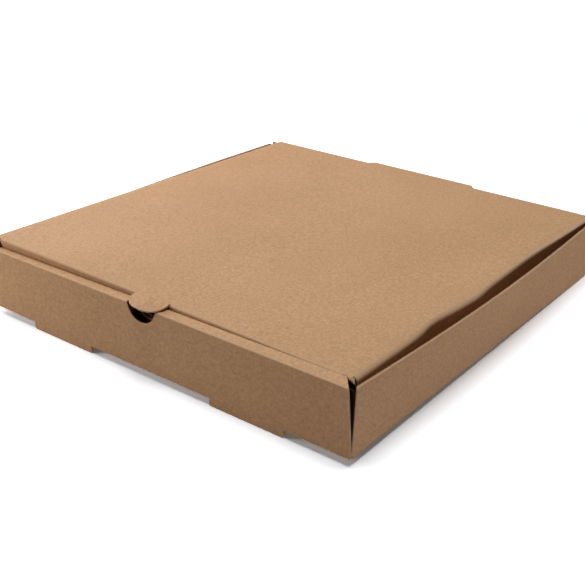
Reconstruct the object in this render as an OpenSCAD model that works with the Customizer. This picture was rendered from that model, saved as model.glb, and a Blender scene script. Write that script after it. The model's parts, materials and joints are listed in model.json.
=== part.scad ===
// Twelve inch pizza box folded from corrugated board: a tray with a rolled-over front wall and a hinged lid.

/* [Board] */
// Thickness of the corrugated board
board_t = 1.5; // [1.2:0.1:2]
// Inside radius of a fold
fold_in = 0.2; // [0.1:0.1:0.8]

/* [Tray] */
// Outer width of the tray at its base
tray_w = 308; // [240:1:420]
// Outer depth of the tray, front face to rear face
tray_d = 315; // [240:1:430]
// Height of the front wall, base underside to top crease
wall_h = 44.5; // [38:0.5:70]
// How far the side walls stop below the front wall's top crease
side_drop = 0.5; // [0:0.1:3]
// How far each side wall bows outwards at its top, halfway along
side_bow = 5.2; // [0:0.1:9]
// Width of the front wall's flat top at its left end
strip_left = 6.2; // [5.5:0.1:12]
// Width of the front wall's flat top at its right end
strip_right = 10.5; // [5.5:0.1:14]
// How much the front panel is narrowed at each end of its top
front_taper = 3.5; // [0:0.1:6]
// How much the front wall's flat top is narrowed at each end, towards its rear
strip_taper = 7; // [0:0.1:9]
// How far the front left corner fold leans back at its top
fold_lean_left = 1.2; // [0:0.1:1.6]
// How far the front right corner fold leans back at its top
fold_lean_right = 2; // [0:0.1:3]

/* [Corner flaps] */
// Length of the corner flaps that fold in from the side walls
corner_flap = 56; // [30:1:80]
// How far a corner flap stops below its side wall
corner_drop = 3; // [1:0.5:8]

/* [Feet and locks] */
// Width of a foot
foot_w = 56.5; // [30:0.5:80]
// How far a foot reaches below the base
foot_h = 4.8; // [4:0.1:8]
// Distance between the middles of the two feet
foot_pitch = 160; // [110:1:190]
// How far the pair of feet lies to the left of the tray's middle
foot_shift = 0.8; // [0:0.1:3]
// Chamfer on a foot's lower corners
foot_chamfer = 1; // [0.5:0.1:3.5]

/* [Thumb notch and tab] */
// Radius of the half-round notch in the front wall
notch_r = 12.5; // [8:0.1:18]
// Sideways place of the notch
notch_x = -4; // [-12:0.5:12]
// How far the notch's middle lies above the front wall's top crease
notch_rise = 1.7; // [0.5:0.1:4]
// Radius of the lid's half-round thumb tab
tab_r = 14.9; // [10:0.1:22]
// Sideways place of the thumb tab
tab_x = -0.9; // [-8:0.1:8]

/* [Lid] */
// How far the lid's side creases lie inside the tray's outer width
lid_inset = 5; // [4.5:0.1:9]
// How far the lid sits to the right of the tray's middle
lid_shift = 2; // [0:0.1:2.4]
// How far the lid's front left corner splays out sideways
lid_splay = 6; // [0:0.1:6.5]
// How far the lid's front right corner comes in sideways
lid_skew = 3; // [0:0.1:4]
// Height of the lid's top above the front crease, at the hinge
lid_rear_rise = 2.6; // [2.2:0.1:4]
// Height of the lid's top above the front crease, at its front left corner
lid_left_rise = 7; // [3:0.1:12]
// Height of the lid's top above the front crease, at its front right corner
lid_right_rise = -0.8; // [-1:0.1:3]
// How far the lid's front edge rises between its two corners
lid_front_bow = 0.4; // [0:0.1:2]
// How far the lid's front left corner reaches over the front wall's top
lid_over = 2; // [0:0.1:3]
// Depth of the lid's side flaps
side_flap = 32; // [15:0.5:36]
// Depth of the lid's front tuck flap
tuck_flap = 33; // [20:0.5:36]
// Width of the rear tab at the hinge crease
rear_tab_w = 101; // [40:1:140]
// How far the rear tab reaches past the rear wall
rear_tab_reach = 4; // [2:0.1:8]

/* [Fit] */
// Gap between the lid and what it passes as it swings
swing_gap = 0.3; // [0.2:0.05:0.6]
// Gap between layers of the folded front wall
layer_gap = 0.1; // [0.05:0.05:0.3]

/* [Hidden] */
kraft = "#b58a5c";
// how far a tongue's faces lie inside the board that it grows from
bury = 0.05;
fold_out = fold_in + board_t;
fold_mid = fold_in + board_t / 2;
half_w = tray_w / 2;
half_d = tray_d / 2;
side_h = wall_h - side_drop;
arc_steps = 4;
wall_steps = 18;
// how far behind a front corner fold its side wall stands upright again
lean_run = 60;
// how far a flap's board runs back into the panel that it is folded from
lead = 2 * board_t;
// how far a lid side flap leans in, in degrees, and its ends' slope as a share of its depth
side_flap_lean = 4;
flap_slope = 0.6;
round_fn = 64;

// the lid's hinge lies in the middle of its board, over the rear wall
hinge_y = half_d - board_t / 2;
hinge_z = wall_h + lid_rear_rise - board_t / 2;
bead_r = board_t / 2 + bury;
rear_top = hinge_z - bead_r - swing_gap;

// the lid's plan and heights
lid_left = -half_w + lid_inset + lid_shift;
lid_right = half_w - lid_inset + lid_shift;
front_left_x = lid_left - lid_splay;
front_right_x = lid_right - lid_skew;
front_left_y = -half_d + strip_left - lid_over;
front_right_y = -half_d + strip_right + 2 * swing_gap;
front_left_z = wall_h + lid_left_rise;
front_right_z = wall_h + lid_right_rise;
rear_z = wall_h + lid_rear_rise;
tab_root_y = front_y(tab_x);

// waves in the lid's right crease: place as a share of the tray's depth, sideways reach, length
crease_waves = [[-0.19, -2.6, 16], [-0.045, 1.4, 14], [0.2, -1.8, 45]];

// the box's middle in the model's frame, between the thumb tab's tip and the rear tab's end
front_reach = tab_r - tab_root_y;
rear_reach = half_d + rear_tab_reach;
middle = [0, (front_reach - rear_reach) / 2, foot_h];

function mix(a, b, share) = a + (b - a) * share;
function strip_w(x) = mix(strip_left, strip_right, (x + half_w) / tray_w);
function strip_rear(x) = -half_d + strip_w(x);
function bow(y) = side_bow * sin(180 * max(0, min(1, (y + half_d) / tray_d)));
function front_share(x) = (x - front_left_x) / (front_right_x - front_left_x);
function front_y(x) = mix(front_left_y, front_right_y, front_share(x));
function front_z(x) =
    let (share = front_share(x))
    mix(front_left_z, front_right_z, share) + 4 * lid_front_bow * share * (1 - share);
function wave(y) =
    let (sums = [for (w = crease_waves) w[1] * exp(-pow((y - w[0] * tray_d) / w[2], 2))])
    sums * [1, 1, 1];
function depth_share(x, y) = (y - front_y(x)) / (hinge_y - front_y(x));
function lid_top(x, y) = mix(front_z(x), rear_z, depth_share(x, y));
function left_crease(y) = mix(front_left_x, lid_left, depth_share(front_left_x, y));
function right_crease(y) = mix(front_right_x, lid_right, depth_share(front_right_x, y)) + wave(y);

// a step of a folded sheet's profile: a point in the middle of the board, and the way its outer face looks
function step(point, angle) = [point, [cos(angle), sin(angle)]];
function bend(centre, from, to) = [
    for (i = [0 : arc_steps])
        let (a = mix(from, to, i / arc_steps))
        [centre + fold_mid * [cos(a), sin(a)], [cos(a), sin(a)]]
];
function moved(s, shift) = s[0] + s[1] * shift;

// A sheet of board between two matching grids of points, its outer and its inner face
module sheet(outer, inner) {
    rows = len(outer) - 1;
    cols = len(outer[0]) - 1;
    count = (rows + 1) * (cols + 1);
    points = [for (grid = [outer, inner], row = grid, p = row) p];
    function o(i, j) = i * (cols + 1) + j;
    function n(i, j) = count + o(i, j);
    quads = [
        for (i = [0 : rows - 1], j = [0 : cols - 1])
            each [
                [o(i, j), o(i + 1, j), o(i + 1, j + 1), o(i, j + 1)],
                [n(i, j), n(i, j + 1), n(i + 1, j + 1), n(i + 1, j)]
            ],
        for (i = [0 : rows - 1])
            each [
                [o(i, 0), n(i, 0), n(i + 1, 0), o(i + 1, 0)],
                [o(i + 1, cols), n(i + 1, cols), n(i, cols), o(i, cols)]
            ],
        for (j = [0 : cols - 1])
            each [
                [o(0, j + 1), n(0, j + 1), n(0, j), o(0, j)],
                [o(rows, j), n(rows, j), n(rows, j + 1), o(rows, j + 1)]
            ]
    ];
    looks = cross(outer[1][0] - outer[0][0], outer[0][1] - outer[0][0]) * (outer[0][0] - inner[0][0]);
    triangles = [for (q = quads) each [[q[0], q[1], q[2]], [q[0], q[2], q[3]]]];
    polyhedron(points, looks < 0 ? triangles : [for (t = triangles) [t[2], t[1], t[0]]]);
}

// A flat plate drawn in X and Z, from y towards the rear
module upright(y, thick) {
    translate([0, y + thick, 0])
        rotate([90, 0, 0])
            linear_extrude(thick)
                children();
}

function foot_x(side) = side * foot_pitch / 2 - foot_shift;

module foot_outline(top) {
    half = foot_w / 2;
    polygon([
        [-half, top], [-half, foot_chamfer - foot_h], [foot_chamfer - half, -foot_h],
        [half - foot_chamfer, -foot_h], [half, foot_chamfer - foot_h], [half, top]
    ]);
}

module base() {
    slot_w = foot_w + 2 * swing_gap;
    slot_end = -half_d + foot_h + board_t / 4;
    edge = board_t / 2;
    linear_extrude(board_t)
        difference() {
            translate([edge - half_w, edge - half_d])
                square([tray_w - 2 * edge, tray_d - 2 * edge]);
            for (side = [-1, 1])
                translate([foot_x(side) - slot_w / 2, -half_d])
                    square([slot_w, slot_end + half_d]);
        }
}

// The front wall's profile at x: up the outer panel, back along the strip, down the inner panel
function front_profile(x) =
    let (
        strip_y = strip_rear(x) - fold_out,
        bend_z = wall_h - fold_out,
        foot_y = lock_y(),
        foot_z = board_t + layer_gap,
        slant = atan2(strip_y + fold_mid - foot_y, bend_z - foot_z)
    ) [
        step([-half_d + board_t / 2, bury], 180),
        each bend([-half_d + fold_out, bend_z], 180, 90),
        each bend([strip_y, bend_z], 90, -slant),
        step([foot_y, foot_z], -slant)
    ];
function lock_y() = -half_d + 2.5 * board_t + 2 * layer_gap;

module front_wall() {
    function end_x(z) = half_w - front_taper * z / wall_h;
    outer_steps = arc_steps + 2;
    function face(shift) = [
        for (side = [-1, 1])
            let (profile = front_profile(side * half_w))
            [
                for (i = [0 : len(profile) - 1])
                    let (
                        p = moved(profile[i], shift),
                        x = i < outer_steps ? end_x(p[1]) : end_x(wall_h) - strip_taper
                    )
                    [side * x, p[0], p[1]]
            ]
    ];
    difference() {
        sheet(face(board_t / 2), face(-board_t / 2));
        translate([notch_x, 0, wall_h + notch_rise])
            rotate([90, 0, 0])
                cylinder(r = notch_r, h = tray_d, $fn = round_fn);
    }
}

module feet_and_locks() {
    grow = 3 * board_t;
    for (side = [-1, 1])
        translate([foot_x(side), 0, 0]) {
            upright(bury - half_d, board_t - 2 * bury)
                foot_outline(grow);
            upright(lock_y() - board_t / 2 + bury, board_t - 2 * bury)
                translate([foot_chamfer - foot_w / 2, 0])
                    square([foot_w - 2 * foot_chamfer, grow]);
        }
}

// The right side wall in plan: front corner flap, fold, wall, fold, rear corner flap
function side_plan() =
    let (
        front_y = -half_d + 1.5 * board_t + layer_gap,
        rear_y = half_d - 1.5 * board_t - layer_gap,
        wall_x = half_w - fold_out,
        flap_x = half_w - corner_flap,
        first = front_y + fold_mid,
        last = rear_y - fold_mid
    ) [
        step([flap_x, front_y], -90),
        step([flap_x + corner_flap / 4, front_y], -90),
        each bend([wall_x, first], -90, 0),
        for (i = [1 : wall_steps - 1]) step([wall_x + fold_mid, mix(first, last, i / wall_steps)], 0),
        each bend([wall_x, last], 0, 90),
        step([flap_x + corner_flap / 4, rear_y], 90),
        step([flap_x, rear_y], 90)
    ];

module side_wall(lean) {
    plan = side_plan();
    end_cut = corner_flap / 6;
    function back(y) = lean * max(0, min(1, 1 - (y + half_d - fold_out) / lean_run));
    function at(i, share, shift) =
        let (
            p = moved(plan[i], shift),
            look = plan[i][1],
            free_end = i == 0 || i == len(plan) - 1 ? end_cut : 0,
            low = mix(board_t + layer_gap, bury, look.x),
            high = side_h - corner_drop * (1 - look.x) - free_end,
            z = mix(low, high, share)
        )
        [p.x + bow(p.y) * look.x * z / side_h, p.y + back(p.y) * z / side_h, z];
    function face(shift) = [for (i = [0 : len(plan) - 1]) [for (share = [0, 0.5, 1]) at(i, share, shift)]];
    sheet(face(board_t / 2), face(-board_t / 2));
}

module rear_tab_outline(grow) {
    reach = rear_tab_reach + board_t / 2 + grow;
    half = rear_tab_w / 2 + grow;
    polygon([[-half, 0], [half, 0], [half - rear_tab_reach, -reach], [rear_tab_reach - half, -reach]]);
}

module rear_wall() {
    upright(half_d - board_t, board_t)
        difference() {
            polygon([
                [-half_w, bury], [half_w, bury],
                [half_w - board_t, rear_top], [board_t - half_w, rear_top]
            ]);
            translate([lid_shift, hinge_z])
                rear_tab_outline(swing_gap);
        }
}

// The tray: base, rolled-over front wall with its feet and locks, side walls with corner flaps, rear wall
module tray() {
    color(kraft)
        translate(middle) {
            base();
            front_wall();
            feet_and_locks();
            side_wall(fold_lean_right);
            mirror([1, 0, 0])
                side_wall(fold_lean_left);
            rear_wall();
        }
}

// The lid's flat panel, between the beginnings of its folds
module lid_panel() {
    edge = fold_out - board_t / 4;
    rows = 40;
    cols = 10;
    function y_of(x, i) = mix(front_y(x) + edge, hinge_y, i / rows);
    function at(share, i, drop) =
        let (
            rough_y = y_of(mix(front_left_x, front_right_x, share), i),
            x = mix(left_crease(rough_y) + edge, right_crease(rough_y) - edge, share),
            y = y_of(x, i)
        )
        [x, y, lid_top(x, y) - drop];
    function face(drop) = [for (i = [0 : rows]) [for (j = [0 : cols]) at(j / cols, i, drop)]];
    sheet(face(0), face(board_t));
}

// A side flap of the lid, folded down from a crease: side is 1 on the right and -1 on the left
module lid_side_flap(side, rows) {
    start = front_y(side * half_w) + 2 * board_t;
    end = hinge_y - 2 * board_t;
    slope = side_flap * flap_slope;
    function places() = [
        start, start + slope / 2,
        for (i = [0 : rows]) mix(start + slope, end - slope, i / rows),
        end - slope / 2, end
    ];
    function depth(y) = mix(board_t, side_flap, min(1, (y - start) / slope, (end - y) / slope));
    function profile(y) =
        let (
            x = side > 0 ? right_crease(y) : -left_crease(y),
            z = lid_top(side * x, y),
            arc_centre = [x - fold_out, z - fold_out],
            turn = bend(arc_centre, 90, -side_flap_lean),
            last = turn[arc_steps]
        ) [
            step([arc_centre.x - lead, z - board_t / 2], 90),
            each turn,
            [last[0] + depth(y) * [-sin(side_flap_lean), -cos(side_flap_lean)], last[1]]
        ];
    function face(shift) = [
        for (y = places())
            [for (s = profile(y)) let (p = moved(s, shift)) [side * p[0], y, p[1]]]
    ];
    sheet(face(board_t / 2 - bury), face(bury - board_t / 2));
}

// The tuck flap at the lid's front. Its lower edge leans back, so that it swings clear of the front wall.
module tuck_flap() {
    rows = 12;
    function profile(x) =
        let (
            y = front_y(x),
            z = front_z(x),
            arc_centre = [y + fold_out, z - fold_out],
            clear_y = max(strip_rear(x) + swing_gap, y + bury) + board_t / 2,
            low_z = z - tuck_flap,
            swing_r = hinge_y - strip_rear(x) - 2 * swing_gap,
            low_y = hinge_y - sqrt(pow(swing_r, 2) - pow(hinge_z - low_z, 2)) + board_t / 2,
            pass = [clear_y, min(wall_h, arc_centre.y) - fold_mid],
            slant = max(0, atan2(pass.x - arc_centre.x + fold_mid, arc_centre.y - pass.y)),
            lean = atan2(low_y - pass.x, pass.y - low_z)
        ) [
            step([arc_centre.x + lead, z - board_t / 2], 90),
            each bend(arc_centre, 90, 180 + slant / 2),
            step(pass, 180 + lean),
            step([low_y, low_z], 180 + lean)
        ];
    function face(shift) = [
        for (i = [0 : rows])
            let (x = mix(front_left_x + fold_out, front_right_x - fold_out, i / rows))
            [for (s = profile(x)) let (p = moved(s, shift)) [x, p[0], p[1]]]
    ];
    difference() {
        sheet(face(board_t / 2 - bury), face(bury - board_t / 2));
        translate([tab_x, tab_root_y + 2 * tab_r, front_z(tab_x)])
            rotate([90, 0, 0])
                cylinder(r = tab_r + swing_gap, h = 4 * tab_r, $fn = round_fn);
    }
}

module thumb_tab() {
    side_slope = atan2(front_z(tab_x) - front_z(tab_x + 1), 1);
    skew = atan2(front_y(1) - front_y(0), 1);
    translate([tab_x, tab_root_y, front_z(tab_x) - board_t + bury])
        rotate([0, side_slope, skew])
            linear_extrude(board_t - 2 * bury)
                union() {
                    intersection() {
                        circle(r = tab_r, $fn = round_fn);
                        translate([-tab_r, -tab_r])
                            square([2 * tab_r, tab_r]);
                    }
                    translate([-tab_r, -bury])
                        square([2 * tab_r, fold_out + lead]);
                }
}

module hinge_bead() {
    translate([lid_left, hinge_y, hinge_z])
        rotate([0, 90, 0])
            cylinder(r = bead_r, h = lid_right - lid_left, $fn = round_fn);
}

module rear_tab() {
    translate([lid_shift, hinge_y, hinge_z + bury - board_t / 2])
        linear_extrude(board_t - 2 * bury)
            mirror([0, 1, 0])
                rear_tab_outline(0);
}

// The lid: panel, tuck flap, side flaps, thumb tab, rear tab and the bead of the hinge crease
module lid() {
    color(kraft)
        translate(middle) {
            lid_panel();
            lid_side_flap(1, 30);
            lid_side_flap(-1, 4);
            tuck_flap();
            thumb_tab();
            hinge_bead();
            rear_tab();
        }
}

tray();
lid();
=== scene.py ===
# Pizza box of brown corrugated board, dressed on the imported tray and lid, on a white studio floor.
import json
import math

import bpy
import numpy as np
from mathutils import Matrix, Vector

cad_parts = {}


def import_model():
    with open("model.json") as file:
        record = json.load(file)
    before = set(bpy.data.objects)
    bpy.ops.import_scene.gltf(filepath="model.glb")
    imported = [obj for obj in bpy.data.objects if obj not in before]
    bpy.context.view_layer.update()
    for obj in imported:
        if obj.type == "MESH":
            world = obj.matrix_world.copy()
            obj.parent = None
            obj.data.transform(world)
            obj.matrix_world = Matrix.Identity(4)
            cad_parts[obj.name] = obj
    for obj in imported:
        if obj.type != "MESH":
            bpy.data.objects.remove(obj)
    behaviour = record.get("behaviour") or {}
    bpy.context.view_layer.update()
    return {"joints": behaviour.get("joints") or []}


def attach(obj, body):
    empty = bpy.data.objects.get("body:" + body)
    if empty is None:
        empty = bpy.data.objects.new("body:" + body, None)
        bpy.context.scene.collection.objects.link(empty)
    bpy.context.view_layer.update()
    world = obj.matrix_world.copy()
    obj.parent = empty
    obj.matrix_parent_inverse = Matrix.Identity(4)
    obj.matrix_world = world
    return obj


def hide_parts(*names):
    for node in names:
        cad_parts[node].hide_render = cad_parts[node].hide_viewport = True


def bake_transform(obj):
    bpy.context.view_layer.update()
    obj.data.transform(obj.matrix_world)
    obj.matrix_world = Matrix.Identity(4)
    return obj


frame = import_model()

# Sizes in millimetres, in a frame that starts at the middle of the base's underside
MM = 0.001
BOARD = 1.5
FOLD = 0.9
TUCK_FOLD = 1.5
SIDE_FLAP_FOLD = 3.0
LAYER_GAP = 0.1
SWING_GAP = 0.3
BURY = 0.05

HALF_W = 154.0
HALF_D = 157.5
WALL_H = 44.5
SIDE_H = 44.0
SIDE_BOW = 5.2
STRIP_LEFT = 6.2
STRIP_RIGHT = 10.5
FRONT_TAPER = 3.5
STRIP_TAPER = 7.0
CORNER_FLAP = 56.0
CORNER_DROP = 3.0
CORNER_CUT = CORNER_FLAP / 6
CORNER_CUT_RUN = CORNER_FLAP / 4
CORNER_FOLD = 2.0
# how far the front corner flaps lean back at their top, by side: at the fold, and in the corner's hollow
FOLD_LEAN = {-1: 1.2, 1: 2.0}
HOLLOW_LEAN = {-1: 1.2, 1: 4.4}
HOLLOW_RUN = 9.0
LEAN_RUN = 60.0

FOOT_W = 56.5
FOOT_H = 4.8
FOOT_PITCH = 160.0
FOOT_SHIFT = 0.8
FOOT_CHAMFER = 1.0
PAST_FEET = (FOOT_PITCH + FOOT_W) / 2 + FOOT_SHIFT
SLOT_END = -HALF_D + FOOT_H + BOARD / 4
LOCK_Y = -HALF_D + 3 * BOARD + 2 * LAYER_GAP
LOCK_LOW = BOARD / 8
LOCK_OVERLAP = 0.6

NOTCH_R = 12.5
NOTCH_X = -4.0
NOTCH_RISE = 1.7
NOTCH_HALF = math.sqrt(NOTCH_R ** 2 - NOTCH_RISE ** 2)
TAB_R = 13.7
TAB_X = -1.6
# how far the thumb tab's tip hangs down, and how much more its right side does
TAB_DROOP = 0.9
TAB_LEAN = 2.7
# the thumb tab's rim is pressed thin: share of the board's thickness, how far in, depth of its hollows
TAB_RIM = 0.5
TAB_PRESSED = 3.0
PRESSED_HOLLOW = 0.05

LID_LEFT = -147.0
LID_RIGHT = 151.0
LID_SHIFT = 2.0
FRONT_LEFT = Vector((-153.0, -153.3, 51.48))
FRONT_RIGHT = Vector((148.0, -146.4, 43.7))
FRONT_BOW = 0.4
REAR_Z = 47.1
HINGE_Y = HALF_D - BOARD / 2
HINGE_Z = REAR_Z - BOARD / 2
BEAD = BOARD / 2 + BURY
REAR_TOP = HINGE_Z - BEAD - SWING_GAP
CREASE = 1.2
LID_REAR = HINGE_Y - CREASE
SIDE_FLAP = 32.0
SIDE_FLAP_LEAN = 9.0
FLAP_SLOPE = 0.6 * SIDE_FLAP
FLAP_START = 0.8
FLAP_END = 2 * BOARD - CREASE
TUCK_FLAP = 33.0
TUCK_END = 5.0
# the lid's two free front corners: how far they bend down and flare out
EAR_DROP = 1.8
EAR_FLARE = 1.2
# how far below the strip's top the tuck flap passes it
TUCK_PASS = 0.95
REAR_TAB_W = 101.0
REAR_TAB_REACH = 4.0
# waves in the lid's right crease: place along the box, sideways reach, length
CREASE_WAVES = ((-59.85, -2.6, 16.0), (-14.175, 1.4, 14.0), (63.0, -1.8, 45.0))

# the board's section at a cut: liner, flute pitch, steps in a flute, half the medium's thickness
LINER = 0.25
FLUTE_PITCH = 3.3
FLUTE_STEPS = 8
MEDIUM_HALF = 0.12
# the hollows in a cut: depth, the medium's share of it, and the length in which they close at an end
HOLLOW = 0.3
MEDIUM_SINK = 0.1
HOLLOW_END = 0.2

# Steps in the grids: their numbers, then the longest step of columns and of the lid's rows
ARC = 6
PANEL_ROWS = 10
STRIP_ROWS = 2
OUTER_ROWS = PANEL_ROWS + ARC
STRIP_END = OUTER_ROWS + STRIP_ROWS
HALF_ROUND = 28
FOOT_ROWS = 4
LOCK_ROWS = 2
BASE_ROWS = 14
CORNER_STEPS = 14
SIDE_STEPS = 60
SIDE_ROWS = 8
SIDE_FLAP_ROWS = 6
TUCK_FOLD_ROWS = 3
TUCK_ROWS = 8
TAB_ROWS = 14
EAR_ROWS = 6
REAR_TAB_ROWS = 4
COLUMN_STEP = 6.0
REAR_STEP = 7.0
LID_STEP = 3.5
# how near to a side flap's end a row of the lid counts as that end
ROW_SLACK = 0.5

LINER_FACE = 0
CUT_FACE = 1
# painted shade on a sheet deep in a gap, at its outer and its inner face, and the unshaded pale lip of its
# raw edge
NOTCH_SHADE = (0.0, 0.95)
SLOT_SHADE = (1.0, 1.0)
PALE_LIP = 0.3
LIP_FADE = 0.25
# a front corner's fold gets painted shade as it turns in behind the front wall
SLOT_START = 0.8
SLOT_FADE = 0.3
# how pale the rear crease is, from rubbing and painted highlight, where 1 is a fold's top
CREASE_WEAR_HIGHLIGHT = 0.6

hinge = Vector(frame["joints"][0]["pos_m"]) / MM
MIDDLE = np.array(hinge) - np.array((0, HINGE_Y, HINGE_Z))


# The box's lines: the rolled-over front wall, the sagging lid and its wavy crease
def mix(a, b, share):
    return a + (b - a) * share


def strip_rear(x):
    return -HALF_D + mix(STRIP_LEFT, STRIP_RIGHT, (x + HALF_W) / (2 * HALF_W))


def bow(y):
    return SIDE_BOW * np.sin(np.pi * np.clip((y + HALF_D) / (2 * HALF_D), 0, 1))


def front_share(x):
    return (x - FRONT_LEFT.x) / (FRONT_RIGHT.x - FRONT_LEFT.x)


def front_y(x):
    return mix(FRONT_LEFT.y, FRONT_RIGHT.y, front_share(x))


def front_z(x):
    share = front_share(x)
    return mix(FRONT_LEFT.z, FRONT_RIGHT.z, share) + 4 * FRONT_BOW * share * (1 - share)


def lid_top(x, y):
    share = (y - front_y(x)) / (HINGE_Y - front_y(x))
    return mix(front_z(x), REAR_Z, share)


def left_crease(y):
    share = (y - FRONT_LEFT.y) / (HINGE_Y - FRONT_LEFT.y)
    return mix(FRONT_LEFT.x, LID_LEFT, share)


def right_crease(y):
    share = (y - FRONT_RIGHT.y) / (HINGE_Y - FRONT_RIGHT.y)
    waves = sum(reach * np.exp(-(((y - place) / length) ** 2)) for place, reach, length in CREASE_WAVES)
    return mix(FRONT_RIGHT.x, LID_RIGHT, share) + waves


def tuck_pass(x):
    """Where the tuck flap's outer face passes the strip: y and z."""
    y = np.maximum(strip_rear(x) + SWING_GAP, front_y(x))
    z = np.minimum(WALL_H, front_z(x) - BOARD) - TUCK_PASS
    return y, z


def tuck_slant(x):
    """How far the tuck flap turns past upright at the front fold, in degrees."""
    y, z = tuck_pass(x)
    return np.degrees(np.arctan2(y - front_y(x), front_z(x) - z))


# Profiles: a row holds the outer face's point, the inner face's point, fold paleness (rubbing and painted
# highlight) and the outer look
def look(angle):
    turn = math.radians(angle)
    return np.array((math.cos(turn), math.sin(turn)))


def row(point, angle):
    point = np.array(point)
    return np.array([(*point, *(point - BOARD * look(angle)), 0.0, angle)])


def bend(corner, start, end, radius=FOLD):
    """A fold: the outer face rounds its corner a little, and the inner face turns sharply."""
    share = np.linspace(0, 1, ARC + 1)
    angles = mix(start, end, share)
    away = (look(start) + look(end)) / (1 + look(start) @ look(end))
    outer = np.array(corner) + radius * (np.array([look(angle) for angle in angles]) - away)
    inner = np.tile(np.array(corner) - BOARD * away, (ARC + 1, 1))
    # the fold's top is paler: rubbing and painted highlight
    return np.column_stack([outer, inner, np.sin(np.pi * share), angles])


def profile(parts, steps):
    """Rows and bends, joined by straight stretches with the given numbers of steps."""
    rows = [parts[0]]
    for count, before, after in zip(steps, parts, parts[1:]):
        share = np.linspace(0, 1, count + 1)[1:-1, None]
        rows += [mix(before[-1], after[0], share), after]
    return np.vstack(rows)


def picked(table, rows):
    """The profile at rows that may lie between its own."""
    known = np.arange(len(table))
    return np.stack([np.interp(rows, known, column) for column in table.T], 1)


def columns(*stops, step=COLUMN_STEP):
    """Even places between the stops, which are kept."""
    places = [np.array(stops[:1])]
    for low, high in zip(stops, stops[1:]):
        count = max(1, math.ceil((high - low) / step))
        places.append(np.linspace(low, high, count + 1)[1:])
    return np.concatenate(places)


def round_columns(centre, half):
    """Places across a half-round, closer together at its two ends."""
    return centre - half * np.cos(np.linspace(0, np.pi, HALF_ROUND + 1))


def between(values, low, high):
    """Which of the values lie from low to high, both ends with them."""
    near = 0.05
    return np.flatnonzero((values > low - near) & (values < high + near))


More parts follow.
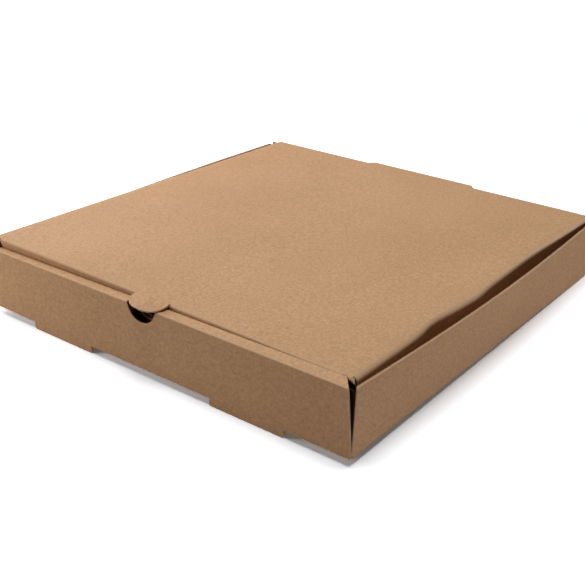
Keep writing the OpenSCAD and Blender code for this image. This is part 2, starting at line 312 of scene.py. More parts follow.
class Board:
    """Sheets of corrugated board, gathered into one mesh."""

    def __init__(self):
        self.points = []
        self.flutes = []
        self.wear_and_painted_light = []
        self.quads = []
        self.finish = []
        self.liner = []
        self.size = 0

    def add(self, grid, flute, wear_and_painted_light, finish, looks):
        """A grid of quads, whose faces look the way that the given vectors do."""
        rows, cols = grid.shape[:2]
        index = self.size + np.arange(rows * cols).reshape(rows, cols)
        corners = [index[:-1, :-1], index[1:, :-1], index[1:, 1:], index[:-1, 1:]]
        quads = np.stack(corners, -1).reshape(-1, 4)
        normals = np.cross(grid[1:, :-1] - grid[:-1, :-1], grid[:-1, 1:] - grid[:-1, :-1])
        if np.sum(normals * looks[:-1, :-1]) < 0:
            quads = quads[:, ::-1]
        self.points.append(grid.reshape(-1, 3))
        self.flutes.append(np.broadcast_to(flute, (rows, cols)).reshape(-1))
        self.wear_and_painted_light.append(np.broadcast_to(wear_and_painted_light, (rows, cols)).reshape(-1))
        self.quads.append(quads)
        self.finish.append(np.full(len(quads), finish))
        self.liner.append(np.full(rows * cols, finish == LINER_FACE))
        self.size += rows * cols

    def sheet(self, outer, inner, flute, wear_and_painted_light=0.0, cut="", dark=(0.0, 0.0)):
        """A sheet between its two liners. Its raw edges are named in cut: first or last, row or column.

        A sheet deep in a gap gets painted shade at its outer and inner face, kept below zero in the
        per-point value.
        """
        flute = np.broadcast_to(flute, outer.shape[:2])
        self.add(outer, flute, wear_and_painted_light, LINER_FACE, outer - inner)
        # the inner face's rows fall together in a fold, and one of them is kept
        moves = np.abs(np.diff(inner, axis=0)).max(axis=(1, 2)) > 1e-6
        kept = np.concatenate([[True], moves])
        self.add(inner[kept], flute[kept], -dark[1], LINER_FACE, (inner - outer)[kept])
        for side in cut.split():
            self.cut(outer, inner, flute, side, dark=dark)

    def cut(self, outer, inner, flute, side, part=slice(None), dark=(0.0, 0.0), hollow=HOLLOW):
        """One raw edge of a sheet, or a part of it."""
        pick = {
            "first_row": ((0, part), (1, part)),
            "last_row": ((-1, part), (-2, part)),
            "first_column": ((part, 0), (part, 1)),
            "last_column": ((part, -1), (part, -2)),
        }
        edge, next_to_it = pick[side]
        into = (outer[next_to_it] + inner[next_to_it]) - (outer[edge] + inner[edge])
        into = into / np.maximum(np.linalg.norm(into, axis=1, keepdims=True), 1e-9)
        flute = np.broadcast_to(flute, outer.shape[:2])[edge]
        self.raw_edge(outer[edge], inner[edge], into, flute, dark, hollow)

    def raw_edge(self, outer, inner, into, flute, dark, hollow):
        """A cut through the board: two liners and the fluted medium. Its hollows close at both ends."""
        gap = np.linalg.norm(np.diff(outer, axis=0), axis=1)
        steps = np.maximum(1, np.ceil(np.abs(np.diff(flute)) / (FLUTE_PITCH / FLUTE_STEPS))).astype(int)
        place = [np.linspace(i, i + 1, n + 1)[:-1] for i, n in enumerate(steps)]
        place = np.concatenate(place + [[len(steps)]])
        first, last = [min(0.5, HOLLOW_END / max(length, HOLLOW_END)) for length in (gap[0], gap[-1])]
        place = np.union1d(place, (first, len(steps) - last))
        known = np.arange(len(outer))

        def resample(values):
            return np.stack([np.interp(place, known, column) for column in values.T], 1)

        outer, inner, into = resample(outer), resample(inner), resample(into)
        flute = np.interp(place, known, flute)
        half = MEDIUM_HALF / BOARD
        liner = LINER / BOARD
        sway = 0.5 + (0.5 - liner - half) * np.sin(2 * np.pi * flute / FLUTE_PITCH)
        zero = np.zeros(len(place))
        across = np.stack([
            zero, zero + liner, zero + liner, sway - half, sway - half,
            sway + half, sway + half, zero + 1 - liner, zero + 1 - liner, zero + 1,
        ], 1)
        deep = np.array([0, 0, 1, 1, MEDIUM_SINK, MEDIUM_SINK, 1, 1, 0, 0]) * hollow
        depth = np.tile(deep, (len(place), 1))
        depth[[0, -1]] = 0
        grid = mix(outer[:, None], inner[:, None], across[..., None]) + into[:, None] * depth[..., None]
        # painted shade across the cut, all but a pale lip at the outer liner
        shade = -mix(*dark, np.clip((across - PALE_LIP) / LIP_FADE, 0, 1))
        self.add(grid, flute[:, None], shade, CUT_FACE, np.broadcast_to(-into[:, None], grid.shape))

    def mesh(self, name):
        """One mesh in the row frame, in metres, with its flute values and its per-point values of rubbing,
        painted highlight and painted shade.
        """
        mesh = bpy.data.meshes.new(name)
        points = (np.concatenate(self.points) + MIDDLE) * MM
        mesh.from_pydata(points.tolist(), [], np.concatenate(self.quads).tolist())
        mesh.polygons.foreach_set("material_index", np.concatenate(self.finish).astype(np.int32))
        for label, values in (("flute", self.flutes), ("wear_and_painted_light", self.wear_and_painted_light)):
            attribute = mesh.attributes.new(label, "FLOAT", "POINT")
            attribute.data.foreach_set("value", np.concatenate(values).astype(np.float32))
        mesh.validate()
        return mesh


WELD_REACH = 0.00001
SHARP_ANGLE = math.radians(40)


def piece(name, board):
    """One object from the board: its liners are joined where they meet, and raw edges keep a crisp rim."""
    item = bpy.data.objects.new(name, board.mesh(name))
    bpy.context.scene.collection.objects.link(item)
    weld = item.modifiers.new("weld", "WELD")
    weld.merge_threshold = WELD_REACH
    liner = item.vertex_groups.new(name="liner")
    liner.add(np.flatnonzero(np.concatenate(board.liner)).tolist(), 1.0, "REPLACE")
    weld.vertex_group = liner.name
    bpy.context.view_layer.objects.active = item
    bpy.ops.object.modifier_apply(modifier=weld.name)
    item.vertex_groups.clear()
    item.data.shade_smooth()
    item.data.set_sharp_from_angle(angle=SHARP_ANGLE)
    item.data.materials.append(kraft)
    item.data.materials.append(raw_board)
    return item


def across_box(outer_x, inner_x, table):
    """Outer and inner grids of a sheet from a profile at each column: rows follow the profile."""
    faces = []
    for x, first in ((outer_x, 0), (inner_x, 2)):
        x = np.broadcast_to(x, table.shape[:2])
        faces.append(np.stack([x, table[..., first], table[..., first + 1]], -1))
    return faces


# Materials
def link(tree, socket, value):
    if isinstance(value, bpy.types.NodeSocket):
        tree.links.new(value, socket)
    else:
        socket.default_value = value


def node(tree, kind, **inputs):
    made = tree.nodes.new(kind)
    for label, value in inputs.items():
        link(tree, made.inputs[label.replace("_", " ")], value)
    return made


def ramp(tree, value, stops):
    made = node(tree, "ShaderNodeValToRGB", Fac=value)
    elements = made.color_ramp.elements
    for element, (place, shade) in zip(elements, (stops[0], stops[-1])):
        element.position = place
        element.color = (*shade, 1)
    for place, shade in stops[1:-1]:
        elements.new(place).color = (*shade, 1)
    return made.outputs["Color"]


def math_node(tree, operation, *values):
    made = tree.nodes.new("ShaderNodeMath")
    made.operation = operation
    for socket, value in zip(made.inputs, values):
        link(tree, socket, value)
    return made.outputs["Value"]


def blend_colour(tree, mode, share, first, second):
    made = tree.nodes.new("ShaderNodeMix")
    made.data_type = "RGBA"
    made.blend_type = mode
    for label, value in (("Factor_Float", share), ("A_Color", first), ("B_Color", second)):
        link(tree, next(s for s in made.inputs if s.identifier == label), value)
    return next(s for s in made.outputs if s.identifier == "Result_Color")


def attribute(tree, name):
    made = node(tree, "ShaderNodeAttribute")
    made.attribute_name = name
    return made.outputs["Fac"]


def new_material(name):
    material = bpy.data.materials.new(name)
    material.use_nodes = True
    tree = material.node_tree
    tree.nodes.clear()
    output = tree.nodes.new("ShaderNodeOutputMaterial")
    return material, tree, output


def grain(tree, place, stretch, scale, detail=2.0):
    mapping = node(tree, "ShaderNodeMapping", Vector=place, Scale=stretch)
    noise = node(tree, "ShaderNodeTexNoise", Vector=mapping.outputs["Vector"], Scale=scale, Detail=detail)
    return noise.outputs["Fac"]


def grey(level):
    return (level, level, level)


KRAFT_DARK = (0.545, 0.322, 0.174)
KRAFT = (0.565, 0.336, 0.184)
KRAFT_PALE = (0.585, 0.350, 0.194)
# the paler colour at fold tops: partly rubbing, partly painted highlight
KRAFT_WORN_HIGHLIT = (0.66, 0.45, 0.285)
FLECK = (0.80, 0.76, 0.72)
RAW_DARK = (0.56, 0.37, 0.23)
RAW_PALE = (0.70, 0.50, 0.34)
# painted shade for surfaces deep in the narrow gaps between layers
GAP_SHADE = (0.020, 0.010, 0.006)


def painted_gap_shade(tree, colour):
    """The colour, mixed towards painted shade where the per-point value is below zero: deep in the narrow
    gaps between layers.
    """
    depth = math_node(tree, "MULTIPLY", attribute(tree, "wear_and_painted_light"), -1.0)
    return blend_colour(tree, "MIX", math_node(tree, "MAXIMUM", depth, 0.0), colour, (*GAP_SHADE, 1))


def kraft_material():
    """Brown kraft liner: faint clouds, fine fibres, dark flecks, flute lines, folds paler from rubbing and
    painted highlight, and painted shade in narrow gaps.
    """
    material, tree, output = new_material("kraft_liner")
    place = node(tree, "ShaderNodeTexCoord").outputs["Object"]
    cloud = grain(tree, place, (1, 1, 1), 14.0)
    colour = ramp(tree, cloud, ((0.3, KRAFT_DARK), (0.5, KRAFT), (0.7, KRAFT_PALE)))
    pulp = grain(tree, place, (1, 1, 1), 620.0)
    along = grain(tree, place, (0.25, 1, 1), 1100.0)
    across = grain(tree, place, (1, 0.25, 1), 1100.0)
    fibres = math_node(tree, "MULTIPLY", math_node(tree, "ADD", along, across), 0.5)
    paper = math_node(tree, "MULTIPLY", math_node(tree, "ADD", pulp, fibres), 0.5)
    tone = ramp(tree, paper, ((0.34, grey(0.81)), (0.66, grey(1.17))))
    colour = blend_colour(tree, "MULTIPLY", 1.0, colour, tone)
    flecks = grain(tree, place, (1, 0.4, 1), 520.0, 1.0)
    speckle = ramp(tree, flecks, ((0.72, grey(1.0)), (0.8, FLECK)))
    colour = blend_colour(tree, "MULTIPLY", 1.0, colour, speckle)
    # fold tops paler: rubbing and painted highlight
    rubbed_and_highlit = math_node(tree, "MULTIPLY", math_node(tree, "MAXIMUM", attribute(tree, "wear_and_painted_light"), 0.0), 0.6)
    colour = blend_colour(tree, "MIX", rubbed_and_highlit, colour, (*KRAFT_WORN_HIGHLIT, 1))
    # painted shade deep in narrow gaps
    colour = painted_gap_shade(tree, colour)
    turns = math_node(tree, "MULTIPLY", attribute(tree, "flute"), 2 * math.pi / FLUTE_PITCH)
    ridges = math_node(tree, "MULTIPLY", math_node(tree, "SINE", turns), 0.1)
    height = math_node(tree, "ADD", ridges, paper)
    bump = node(tree, "ShaderNodeBump", Height=height, Strength=0.2, Distance=0.0002)
    rough = ramp(tree, paper, ((0.34, grey(0.95)), (0.66, grey(0.8))))
    shader = node(tree, "ShaderNodeBsdfPrincipled", Base_Color=colour, Roughness=rough)
    tree.links.new(bump.outputs["Normal"], shader.inputs["Normal"])
    shader.inputs["Specular IOR Level"].default_value = 0.2
    tree.links.new(shader.outputs["BSDF"], output.inputs["Surface"])
    return material


def raw_board_material():
    """The cut edge of the board: paler, fuzzy, matt paper, with painted shade where it lies deep in a gap.
    """
    material, tree, output = new_material("raw_board_edge")
    place = node(tree, "ShaderNodeTexCoord").outputs["Object"]
    fuzz = grain(tree, place, (1, 1, 1), 900.0)
    colour = ramp(tree, fuzz, ((0.3, RAW_DARK), (0.7, RAW_PALE)))
    colour = painted_gap_shade(tree, colour)
    bump = node(tree, "ShaderNodeBump", Height=fuzz, Strength=0.3, Distance=0.0002)
    shader = node(tree, "ShaderNodeBsdfPrincipled", Base_Color=colour, Normal=bump.outputs["Normal"])
    shader.inputs["Roughness"].default_value = 0.95
    shader.inputs["Specular IOR Level"].default_value = 0.15
    tree.links.new(shader.outputs["BSDF"], output.inputs["Surface"])
    return material


kraft = kraft_material()
raw_board = raw_board_material()

# The tray
FRONT_FOLD = bend((-HALF_D, 0), 270, 180)
REAR_FOLD = bend((HALF_D, 0), 270, 360)
SIDE_FOLD = bend((HALF_W, 0), 270, 360)


def spread(x, end):
    """Columns across the box: outside the feet they are drawn in so that they end at end."""
    room = (end - PAST_FEET) / (HALF_W - PAST_FEET)
    past = np.maximum(np.abs(x) - PAST_FEET, 0)
    return np.sign(x) * (np.minimum(np.abs(x), PAST_FEET) + past * room)


def front_profile(x):
    """The front wall at x: up the outer panel, back along the strip, down the inner panel."""
    rear = strip_rear(x)
    low = BOARD + LAYER_GAP
    slant = math.degrees(math.atan2(rear - LOCK_Y, WALL_H - low))
    parts = [
        FRONT_FOLD[-1:],
        bend((-HALF_D, WALL_H), 180, 90),
        bend((rear, WALL_H), 90, -slant),
        row((LOCK_Y, low), -slant),
    ]
    return profile(parts, (PANEL_ROWS, STRIP_ROWS, PANEL_ROWS))


def front_end(z):
    """Where the front wall ends sideways: the panel narrows to its top, and the strip to its rear."""
    height = np.minimum(z, WALL_H)
    height[OUTER_ROWS:] = WALL_H
    back = np.clip((np.arange(len(z)) - OUTER_ROWS) / STRIP_ROWS, 0, 1)[:, None]
    return HALF_W - FRONT_TAPER * height / WALL_H - STRIP_TAPER * back


def front_wall(board, places):
    """One side of the rolled-over front wall, beside the thumb notch."""
    table = np.stack([front_profile(x) for x in places], 1)
    outer_x = spread(places, front_end(table[..., 1]))
    inner_x = spread(places, front_end(table[..., 3]))
    outer, inner = across_box(outer_x, inner_x, table)
    board.sheet(outer, inner, outer_x, table[..., 4], "last_row")
    left = places[0] < NOTCH_X - NOTCH_HALF
    board.cut(outer, inner, outer_x, "first_column" if left else "last_column")
    strip = slice(OUTER_ROWS, STRIP_END + 1)
    # the strip's cut beside the notch gets painted shade
    board.cut(outer, inner, outer_x, "last_column" if left else "first_column", strip, dark=NOTCH_SHADE)


def below_notch(board, places):
    """The outer and the inner panel where the thumb notch cuts their tops."""
    outer_panel, inner_panel = [], []
    for x in places:
        table = front_profile(x)
        last = len(table) - 1
        drop = math.sqrt(max(0.0, NOTCH_R ** 2 - (x - NOTCH_X) ** 2))
        top = np.interp(WALL_H + NOTCH_RISE - drop, table[: OUTER_ROWS + 1, 1], np.arange(OUTER_ROWS + 1))
        outer_panel.append(picked(table, np.linspace(0, top, OUTER_ROWS + 1)))
        inner_panel.append(picked(table, np.linspace(last - top, last, OUTER_ROWS + 1)))
    for tables, cuts in ((outer_panel, "last_row"), (inner_panel, "first_row last_row")):
        table = np.stack(tables, 1)
        outer, inner = across_box(places, places, table)
        # painted shade on both panels and their cuts, seen only through the notch
        board.sheet(outer, inner, places, table[..., 4], cuts, dark=NOTCH_SHADE)


def base_fold(board, places):
    """The fold from the base up into the front panel, between two feet or beside one."""
    ends = np.linspace(HALF_W - FOLD, HALF_W - FRONT_TAPER * FOLD / WALL_H, ARC + 1)
    outer_x = spread(places, ends[:, None])
    inner_x = spread(places, HALF_W - BOARD)
    table = np.repeat(FRONT_FOLD[:, None], len(places), 1)
    outer, inner = across_box(outer_x, inner_x, table)
    board.sheet(outer, inner, outer_x, table[..., 4], "first_column last_column")


def foot_columns(side):
    low = side * FOOT_PITCH / 2 - FOOT_SHIFT - FOOT_W / 2
    high = low + FOOT_W
    return columns(low, low + FOOT_CHAMFER, high - FOOT_CHAMFER, high)


def foot(board, places):
    """A foot: the front panel runs on below the base, with cut corners. A lock tab stands behind it."""
    middle = (places[0] + places[-1]) / 2
    corner = np.maximum(0, np.abs(places - middle) - FOOT_W / 2 + FOOT_CHAMFER)
    lows = [row((-HALF_D, low), 180) for low in corner - FOOT_H]
    table = np.stack([profile([low, FRONT_FOLD[-1:]], (FOOT_ROWS,)) for low in lows], 1)
    outer, inner = across_box(places, places, table)
    board.sheet(outer, inner, places, 0.0, "first_row first_column last_column")
    lock_x = places[between(places, places[0] + FOOT_CHAMFER, places[-1] - FOOT_CHAMFER)]
    lock_ends = (LOCK_LOW, BOARD + LAYER_GAP + LOCK_OVERLAP)
    lock = profile([row((LOCK_Y, end), 0) for end in lock_ends], (LOCK_ROWS,))
    outer, inner = across_box(lock_x, lock_x, np.repeat(lock[:, None], len(lock_x), 1))
    board.sheet(outer, inner, lock_x, 0.0, "first_row first_column last_column")


def base(board, places, front_row, cuts):
    """A stretch of the base, from its front end to the rear fold."""
    table = profile([front_row, REAR_FOLD[:1]], (BASE_ROWS,))
    table = np.repeat(table[:, None], len(places), 1)
    outer, inner = across_box(spread(places, HALF_W - FOLD), spread(places, HALF_W - BOARD), table)
    board.sheet(outer, inner, places, 0.0, cuts)


def side_plan():
    """The right side wall in plan: front corner flap, fold, wall, fold, rear corner flap."""
    front = -HALF_D + BOARD + LAYER_GAP
    rear = HALF_D - BOARD - LAYER_GAP
    end_x = HALF_W - CORNER_FLAP
    parts = [
        row((end_x, front), -90),
        bend((HALF_W, front), -90, 0, CORNER_FOLD),
        bend((HALF_W, rear), 0, 90, CORNER_FOLD),
        row((end_x, rear), 90),
    ]
    return profile(parts, (CORNER_STEPS, SIDE_STEPS, CORNER_STEPS))


def side_wall(board, side):
    """A side wall, its corner flaps and the fold at its foot: side is 1 on the right, -1 on the left."""
    plan = side_plan()
    look_x = np.cos(np.radians(plan[:, 5]))
    x, y = plan[:, 0], plan[:, 1]
    # painted shade where the front corner flap turns in behind the front wall; elsewhere the folds'
    # paleness
    in_slot = np.where(y < 0, np.clip((SLOT_START - look_x) / SLOT_FADE, 0, 1), 0)
    wear_and_painted_light = plan[:, 4] * (1 - in_slot) - in_slot
    from_end = (x - x[0]) / CORNER_CUT_RUN
    high = SIDE_H - CORNER_DROP * (1 - look_x) - CORNER_CUT * np.clip(1 - from_end, 0, 1)
    lean = mix(FOLD_LEAN[side], HOLLOW_LEAN[side], np.clip((HALF_W - x) / HOLLOW_RUN, 0, 1))
    lean = lean * np.clip(1 - (y - y[0]) / LEAN_RUN, 0, 1)
    faces = []
    for first, foot_z in ((0, FOLD), (2, BOARD)):
        low = mix(BOARD + LAYER_GAP, foot_z, look_x)
        z = mix(low, high, np.linspace(0, 1, SIDE_ROWS + 1)[:, None])
        rise = np.clip((z - BOARD) / (SIDE_H - BOARD), 0, 1)
        out = plan[:, first] + bow(plan[:, first + 1]) * look_x * rise
        back = plan[:, first + 1] + lean * rise
        faces.append(np.stack([side * out, back, z], -1))
    outer, inner = faces
    flute = side * (HALF_W + outer[..., 2])
    board.sheet(outer, inner, flute, wear_and_painted_light, "first_column last_column")
    upright = np.flatnonzero(look_x > 0.999)
    past_slot = np.flatnonzero(in_slot > 0.5)[-1]
    # the flap's top edge inside the slot gets painted shade too
    board.cut(outer, inner, flute, "last_row", slice(0, past_slot + 1), SLOT_SHADE)
    board.cut(outer, inner, flute, "last_row", slice(past_slot, None))
    board.cut(outer, inner, flute, "first_row", slice(0, upright[0] + 1))
    board.cut(outer, inner, flute, "first_row", slice(upright[-1], None))
    faces = []
    for first in (0, 2):
        turn = SIDE_FOLD[:, None, first : first + 2]
        along = np.broadcast_to(plan[upright, first + 1], (ARC + 1, len(upright)))
        faces.append(np.stack(np.broadcast_arrays(side * turn[..., 0], along, turn[..., 1]), -1))
    outer, inner = faces
    flute = side * (HALF_W + outer[..., 2])
    board.sheet(outer, inner, flute, SIDE_FOLD[:, 4:5], "first_column last_column")


def rear_wall(board):
    """The rear wall, with the gap in its top that the lid's rear tab was cut from."""
    reach = REAR_TAB_REACH + BOARD / 2 + SWING_GAP
    wide = REAR_TAB_W / 2 + SWING_GAP
    narrow = wide - REAR_TAB_REACH
    shoulder = wide - REAR_TAB_REACH * (HINGE_Z - REAR_TOP) / reach
    gap = [LID_SHIFT + step for step in (-shoulder, -narrow, narrow, shoulder)]
    places = columns(-HALF_W, *gap, HALF_W, step=REAR_STEP)
    top = np.interp(np.abs(places - LID_SHIFT), (narrow, shoulder), (HINGE_Z - reach, REAR_TOP))
    table = np.stack([profile([REAR_FOLD, row((HALF_D, high), 0)], (PANEL_ROWS,)) for high in top], 1)
    heights = (0, FOLD, REAR_TOP)
    outer_x = spread(places, HALF_W - np.interp(table[..., 1], heights, (FOLD, 0, BOARD)))
    inner_x = spread(places, HALF_W - BOARD)
    outer, inner = across_box(outer_x, inner_x, table)
    board.sheet(outer, inner, outer_x, table[..., 4], "last_row first_column last_column")


def tray():
    board = Board()
    notch = round_columns(NOTCH_X, NOTCH_HALF)
    left_foot, right_foot = foot_columns(-1), foot_columns(1)
    far_left = columns(-HALF_W, left_foot[0])
    near_left = columns(left_foot[-1], notch[0])
    near_right = columns(notch[-1], right_foot[0])
    far_right = columns(right_foot[-1], HALF_W)
    front_wall(board, np.concatenate([far_left, left_foot[1:], near_left[1:]]))
    front_wall(board, np.concatenate([near_right, right_foot[1:], far_right[1:]]))
    below_notch(board, notch)
    between_feet = np.concatenate([near_left, notch[1:-1], near_right])
    for places in (far_left, between_feet, far_right):
        base_fold(board, places)
        base(board, places, FRONT_FOLD[:1], "")
    for places in (left_foot, right_foot):
        foot(board, places)
        base(board, places, row((SLOT_END, 0), 270), "first_row")
    for side in (-1, 1):
        side_wall(board, side)
    rear_wall(board)
    return piece("tray_board", board)


tray_board = tray()
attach(tray_board, "tray")
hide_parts("tray")

# The lid
SIDE_TURN = math.tan(math.radians(90 + SIDE_FLAP_LEAN) / 2)
FOLD_REACH = SIDE_FLAP_FOLD * SIDE_TURN
lid_stops = {
    "left": FRONT_LEFT.x + FOLD_REACH,
    "tuck_left": FRONT_LEFT.x + FOLD_REACH + TUCK_END,
    "cut_left": TAB_X - TAB_R - SWING_GAP,
    "tab_left": TAB_X - TAB_R,
    "tab_right": TAB_X + TAB_R,
    "cut_right": TAB_X + TAB_R + SWING_GAP,
    "tuck_right": FRONT_RIGHT.x - FOLD_REACH - TUCK_END,
    "right": FRONT_RIGHT.x - FOLD_REACH,
}


def front_turn(x):
    """How far a fold of radius 1 reaches back from the lid's front corner line."""
    return np.tan(np.radians(90 + tuck_slant(x)) / 2)


def lid_shares():
    """Where the lid's columns lie, as shares of its width: even, and at each corner of a flap or a tab."""
    front = columns(*lid_stops.values())
    front = np.concatenate([front, round_columns(TAB_X, TAB_R), round_columns(TAB_X, TAB_R + SWING_GAP)])
    half = REAR_TAB_W / 2
    right_steps = np.array((half - REAR_TAB_REACH, half, half + SWING_GAP))
    rear = LID_SHIFT + np.concatenate([-right_steps, right_steps])
    rear_left = LID_LEFT + FOLD_REACH
    front_width = lid_stops["right"] - lid_stops["left"]
    rear_width = LID_RIGHT - FOLD_REACH - rear_left
    shares = np.concatenate([(front - lid_stops["left"]) / front_width, (rear - rear_left) / rear_width])
    return np.unique(np.round(shares, 6))


def lid_panel(board):
    """The lid's panel between its folds. Returns the grids of its outer and inner faces."""
    across = lid_shares()
    depth = LID_REAR - FRONT_LEFT.y
    flap_end = depth - FLAP_END
    stops = (0, FLAP_START, FLAP_START + FLAP_SLOPE, flap_end - FLAP_SLOPE, flap_end, depth)
    back = (columns(*stops, step=LID_STEP) / depth)[:, None]
    faces = []
    for front, side, drop in ((TUCK_FOLD, SIDE_FLAP_FOLD, 0.0), (BOARD, BOARD, BOARD)):
        rough_y = mix(mix(FRONT_LEFT.y, FRONT_RIGHT.y, across) + front, LID_REAR, back)
        edge = side * SIDE_TURN
        x = mix(left_crease(rough_y) + edge, right_crease(rough_y) - edge, across)
        y = mix(front_y(x) + front * front_turn(x), LID_REAR, back)
        faces.append(np.stack([x, y, lid_top(x, y) - drop], -1))
    outer, inner = faces
    board.sheet(outer, inner, outer[..., 0])
    bare = np.flatnonzero(np.abs(outer[:, 0, 1] - outer[0, 0, 1]) < FLAP_START + ROW_SLACK)
    for side in ("first_column", "last_column"):
        board.cut(outer, inner, outer[..., 0], side, slice(0, bare[-1] + 1))
    return outer, inner


def lid_side_flap(board, panel, side):
    """A side flap, folded down from the panel's edge: side is 1 on the right and -1 on the left."""
    outer_edge, inner_edge = [face[:, -1 if side > 0 else 0] for face in panel]
    start = outer_edge[0, 1] + FLAP_START
    end = outer_edge[-1, 1] - FLAP_END
    kept = between(outer_edge[:, 1], start - ROW_SLACK, end + ROW_SLACK)
    outer_edge, inner_edge = outer_edge[kept], inner_edge[kept]
    y = outer_edge[:, 1]
    share = np.minimum((y - start) / FLAP_SLOPE, (end - y) / FLAP_SLOPE)
    reach = mix(BOARD, SIDE_FLAP, np.clip(share, 0, 1))
    lean = math.radians(SIDE_FLAP_LEAN)
    tables = []
    for point, length in zip(outer_edge, reach):
        turn = bend((side * point[0] + FOLD_REACH, point[2]), 90, -SIDE_FLAP_LEAN, SIDE_FLAP_FOLD)
        low = turn[-1, :2] - length * np.array((math.sin(lean), math.cos(lean)))
        tables.append(profile([turn, row(low, -SIDE_FLAP_LEAN)], (SIDE_FLAP_ROWS,)))
    table = np.stack(tables, 1)
    outer = np.stack(np.broadcast_arrays(side * table[..., 0], y, table[..., 1]), -1)
    inner = np.stack(np.broadcast_arrays(side * table[..., 2], inner_edge[:, 1], table[..., 3]), -1)
    inner[: ARC + 1] = inner_edge
    flute = side * (LID_RIGHT - outer[..., 2])
    board.sheet(outer, inner, flute, table[..., 4], "last_row first_column last_column")


def tuck_profile(point):
    """The tuck flap at a point of the panel's front edge: over the fold, past the strip, down and back."""
    x, y, z = point
    slant = tuck_slant(x)
    low_z = z - TUCK_FLAP
    swing = HINGE_Y - strip_rear(x) - 2 * SWING_GAP
    low_y = HINGE_Y - math.sqrt(swing ** 2 - (HINGE_Z - low_z) ** 2)
    pass_y, pass_z = tuck_pass(x)
    lean = math.degrees(math.atan2(low_y - pass_y, pass_z - low_z))
    parts = [
        bend((y - TUCK_FOLD * front_turn(x), z), 90, 180 + slant, TUCK_FOLD),
        row((pass_y, pass_z), 180 + mix(slant, lean, 0.5)),
        row((low_y, low_z), 180 + lean),
    ]
    return profile(parts, (TUCK_FOLD_ROWS, TUCK_ROWS))


def tuck_flap(board, panel):
    """The tuck flap. Where the thumb tab was cut from it, its top starts at the half-round cut."""
    outer_edge, inner_edge = panel[0][0], panel[1][0]
    for low, high, cuts in (
        ("tuck_left", "cut_left", "last_row first_column"),
        ("cut_right", "tuck_right", "last_row last_column"),
    ):
        kept = between(outer_edge[:, 0], lid_stops[low], lid_stops[high])
        table = np.stack([tuck_profile(point) for point in outer_edge[kept]], 1)
        outer, inner = across_box(outer_edge[kept, 0], inner_edge[kept, 0], table)
        inner[: ARC + 1] = inner_edge[kept]
        board.sheet(outer, inner, outer[..., 0], table[..., 4], cuts)
    kept = between(outer_edge[:, 0], lid_stops["cut_left"], lid_stops["cut_right"])
    tables = []
    for point in outer_edge[kept]:
        table = tuck_profile(point)
        drop = math.sqrt(max(0.0, (TAB_R + SWING_GAP) ** 2 - (point[0] - TAB_X) ** 2))
        last = len(table) - 1
        top = np.interp(drop, front_z(TAB_X) - table[:, 1], np.arange(last + 1))
        tables.append(picked(table, np.linspace(top, last, last + 1)))
    table = np.stack(tables, 1)
    outer, inner = across_box(outer_edge[kept, 0], outer_edge[kept, 0], table)
    board.sheet(outer, inner, outer[..., 0], table[..., 4], "first_row last_row")


def thumb_tab(board, panel):
    """The half-round tab that runs on from the panel over the notch, with a rim that is pressed thin."""
    kept = between(panel[0][0, :, 0], lid_stops["tab_left"], lid_stops["tab_right"])
    root, under = panel[0][0, kept], panel[1][0, kept]
    x = root[:, 0]
    reach = np.sqrt(np.maximum(0, TAB_R ** 2 - (x - TAB_X) ** 2))
    share = np.linspace(0, 1, TAB_ROWS + 1)[:, None]
    droop = TAB_DROOP + TAB_LEAN * np.maximum(0, x - TAB_X) / TAB_R
    z = root[:, 2] - droop * (1 - share) * reach / TAB_R
    thick = mix(TAB_RIM, 1.0, np.clip(share * (reach + TUCK_FOLD) / TAB_PRESSED, 0, 1))
    thick = np.where(share == 1, 1.0, thick)
    outer_y = mix(front_y(x) - reach, root[:, 1], share)
    inner_y = mix(front_y(x) - reach, under[:, 1], share)
    outer = np.stack(np.broadcast_arrays(x, outer_y, z), -1)
    inner = np.stack(np.broadcast_arrays(under[:, 0], inner_y, z - BOARD * thick), -1)
    inner[-1] = under
    # the rim row is paler: rubbing and painted highlight
    board.sheet(outer, inner, outer[..., 0], np.where(share == 0, 1.0, 0.0))
    board.cut(outer, inner, outer[..., 0], "first_row", hollow=PRESSED_HOLLOW)


def ear(board, panel, low, high, side):
    """A free front corner of the lid, beside the tuck flap: it bends down and flares out to its tip."""
    kept = between(panel[0][0, :, 0], lid_stops[low], lid_stops[high])
    share = np.linspace(0, 1, EAR_ROWS + 1)[:, None]
    end = lid_stops[high if side > 0 else low]
    faces = []
    for face in panel:
        root = face[0, kept]
        out = np.clip((side * root[:, 0] + TUCK_END - side * end) / TUCK_END, 0, 1)
        x = root[:, 0] + side * EAR_FLARE * out * share
        y = mix(root[:, 1], front_y(root[:, 0]), share)
        z = root[:, 2] - EAR_DROP * out ** 2 * share ** 2
        faces.append(np.stack(np.broadcast_arrays(x, y, z), -1))
    # the tip row is paler: rubbing and painted highlight
    worn_and_highlit = np.where(share == 1, 1.0, 0.0)
    board.sheet(*faces, faces[0][..., 0], worn_and_highlit, "last_row first_column last_column")


def rear_tab(board, panel):
    """The tab that stands out behind the hinge when the lid is closed."""
    half = REAR_TAB_W / 2
    kept = between(panel[0][-1, :, 0], LID_SHIFT - half, LID_SHIFT + half)
    root, under = panel[0][-1, kept], panel[1][-1, kept]
    room = np.clip((half - np.abs(root[:, 0] - LID_SHIFT)) / REAR_TAB_REACH, 0, 1)
    tip_y = HINGE_Y + (REAR_TAB_REACH + BOARD / 2) * room
    share = np.linspace(0, 1, REAR_TAB_ROWS + 1)[:, None]
    faces = []
    for face in (root, under):
        y = mix(face[:, 1], tip_y, share)
        faces.append(np.stack(np.broadcast_arrays(face[:, 0], y, face[:, 2]), -1))
    board.sheet(*faces, root[:, 0], 0.0, "last_row first_column last_column")


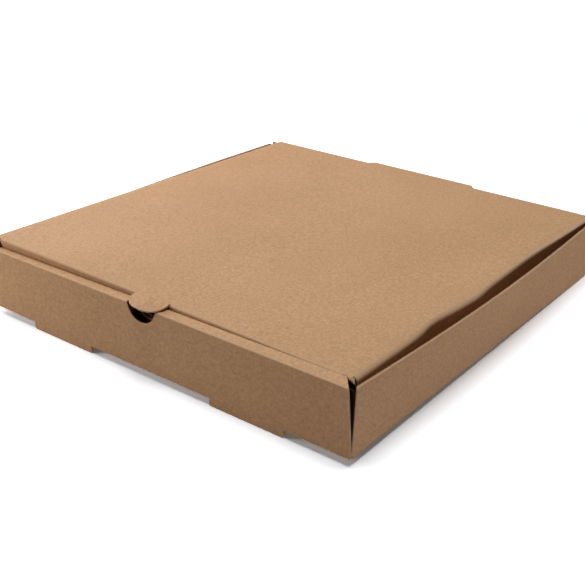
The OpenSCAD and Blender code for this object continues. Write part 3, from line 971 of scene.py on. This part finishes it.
def lid():
    board = Board()
    panel = lid_panel(board)
    lid_side_flap(board, panel, 1)
    lid_side_flap(board, panel, -1)
    tuck_flap(board, panel)
    ear(board, panel, "left", "tuck_left", -1)
    ear(board, panel, "tuck_right", "right", 1)
    thumb_tab(board, panel)
    rear_tab(board, panel)
    return piece("lid_board", board), panel[0]


lid_board, lid_face = lid()
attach(lid_board, "lid")
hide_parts("lid")


# The rear crease, where the sheet bends from the rear wall into the lid
def rear_crease(name, places):
    """A stretch of the crease, from the top of the rear wall round the hinge to the lid's panel."""
    board = Board()
    half = BOARD / 2
    low = REAR_TOP - HINGE_Z
    turn = [look(angle) for angle in np.linspace(0, 90, ARC + 1)]
    outer = np.vstack([(half, low), half * np.array(turn), (-CREASE, half)])
    inner = np.vstack([(-half, low), np.tile((-half, -half), (ARC + 1, 1)), (-CREASE, -half)])
    table = np.column_stack([outer, inner]) + np.tile((HINGE_Y, HINGE_Z), 2)
    table = np.repeat(table[:, None], len(places), 1)
    board.sheet(*across_box(places, places, table), places, CREASE_WEAR_HIGHLIGHT)
    return piece(name, board)


rear_places = lid_face[-1, :, 0]
tab_side = REAR_TAB_W / 2 + SWING_GAP
for crease_name, low, high in (
    ("crease_left", rear_places[0], LID_SHIFT - tab_side),
    ("crease_right", LID_SHIFT + tab_side, rear_places[-1]),
):
    crease = rear_crease(crease_name, rear_places[between(rear_places, low, high)])
    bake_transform(crease)

# Studio, in metres: the floor is tilted, because the box stands on its feet and on its rear edge
FLOOR_REACH = 0.7
FLOOR_SLOPE = math.atan2(FOOT_H, 2 * HALF_D)
FRONT_FOOT = Vector((0, (MIDDLE[1] - HALF_D) * MM, 0))
# the floor's colours for bounced light, then its colour and a little glow for the camera
PAPER = (0.60, 0.55, 0.50)
PAPER_DARK = (0.58, 0.53, 0.48)
FLOOR_WHITE = (1.50, 1.58, 1.66)
FLOOR_LIFT = 0.08
AMBIENT = 0.01


def floor_material():
    """Paper that keeps the box's shadow. It is whiter for the camera, to read as a white background."""
    material, tree, output = new_material("studio_floor")
    place = node(tree, "ShaderNodeTexCoord").outputs["Object"]
    mottle = grain(tree, place, (1, 1, 1), 3.0)
    path = tree.nodes.new("ShaderNodeLightPath")
    seen = path.outputs["Is Camera Ray"]
    paper = ramp(tree, mottle, ((0.3, PAPER_DARK), (0.7, PAPER)))
    colour = blend_colour(tree, "MIX", seen, paper, (*FLOOR_WHITE, 1))
    diffuse = node(tree, "ShaderNodeBsdfDiffuse", Color=colour)
    glow = node(tree, "ShaderNodeEmission", Color=(1, 1, 1, 1))
    lift = math_node(tree, "MULTIPLY", seen, FLOOR_LIFT)
    tree.links.new(lift, glow.inputs["Strength"])
    both = tree.nodes.new("ShaderNodeAddShader")
    tree.links.new(diffuse.outputs["BSDF"], both.inputs[0])
    tree.links.new(glow.outputs["Emission"], both.inputs[1])
    tree.links.new(both.outputs["Shader"], output.inputs["Surface"])
    return material


def floor():
    mesh = bpy.data.meshes.new("floor")
    corners = [(x * FLOOR_REACH, y * FLOOR_REACH, 0) for x, y in ((-1, -1), (1, -1), (1, 1), (-1, 1))]
    mesh.from_pydata(corners, [], [(0, 1, 2, 3)])
    item = bpy.data.objects.new("floor", mesh)
    bpy.context.scene.collection.objects.link(item)
    item.location = FRONT_FOOT
    item.rotation_euler = (FLOOR_SLOPE, 0, 0)
    mesh.materials.append(floor_material())


def softbox(name, place, size, power, tint=(1, 1, 1)):
    """A soft light that looks at the box."""
    light = bpy.data.lights.new(name, "AREA")
    light.shape = "RECTANGLE"
    light.size, light.size_y = size
    light.energy = power
    light.color = tint
    item = bpy.data.objects.new(name, light)
    bpy.context.scene.collection.objects.link(item)
    item.location = place
    item.rotation_euler = (-Vector(place)).to_track_quat("-Z", "Y").to_euler()


def world(ambient):
    """White for the camera, and a faint even light for the rest."""
    made = bpy.data.worlds.new("studio")
    bpy.context.scene.world = made
    made.use_nodes = True
    tree = made.node_tree
    background = tree.nodes["Background"]
    path = tree.nodes.new("ShaderNodeLightPath")
    background.inputs["Color"].default_value = (1, 1, 1, 1)
    seen = math_node(tree, "MULTIPLY", path.outputs["Is Camera Ray"], 1 - ambient)
    tree.links.new(math_node(tree, "ADD", seen, ambient), background.inputs["Strength"])


floor()
world(AMBIENT)
# lamps: name, place and size in metres, power in watts, tint
softbox("overhead", (0.06, 0.0, 2.2), (1.3, 1.3), 35.5)
softbox("lid_left", (-0.7, 0.1, 0.3), (0.3, 0.3), 3.0)
softbox("near_left", (-0.55, -0.55, 0.24), (0.25, 0.25), 1.95)
softbox("low_right", (0.55, 0.1, 0.012), (0.7, 0.02), 0.72, (0.97, 1.0, 1.08))

# Camera, in millimetres: the frame is square, and lens and place were fitted to the box's edges
FOCAL = 63.05
SENSOR = 36.0
AZIMUTH = math.radians(37.52)
ELEVATION = math.radians(25.47)
ROLL = math.radians(-0.67)
DISTANCE = 691.26
TARGET = Vector((30.879, -50.507, 25.0))


def camera():
    lens = bpy.data.cameras.new("camera")
    lens.sensor_width = SENSOR
    lens.lens = FOCAL
    item = bpy.data.objects.new("camera", lens)
    bpy.context.scene.collection.objects.link(item)
    level = math.cos(ELEVATION)
    back = Vector((math.sin(AZIMUTH) * level, -math.cos(AZIMUTH) * level, math.sin(ELEVATION)))
    right = Vector((0, 0, 1)).cross(back).normalized()
    up = back.cross(right)
    tilted_right = right * math.cos(ROLL) - up * math.sin(ROLL)
    tilted_up = back.cross(tilted_right)
    place = (TARGET + Vector(MIDDLE) + back * DISTANCE) * MM
    turn = Matrix((tilted_right, tilted_up, back)).transposed().to_4x4()
    item.matrix_world = Matrix.Translation(place) @ turn
    bpy.context.scene.camera = item


camera()
bpy.context.scene.view_settings.view_transform = "Standard"
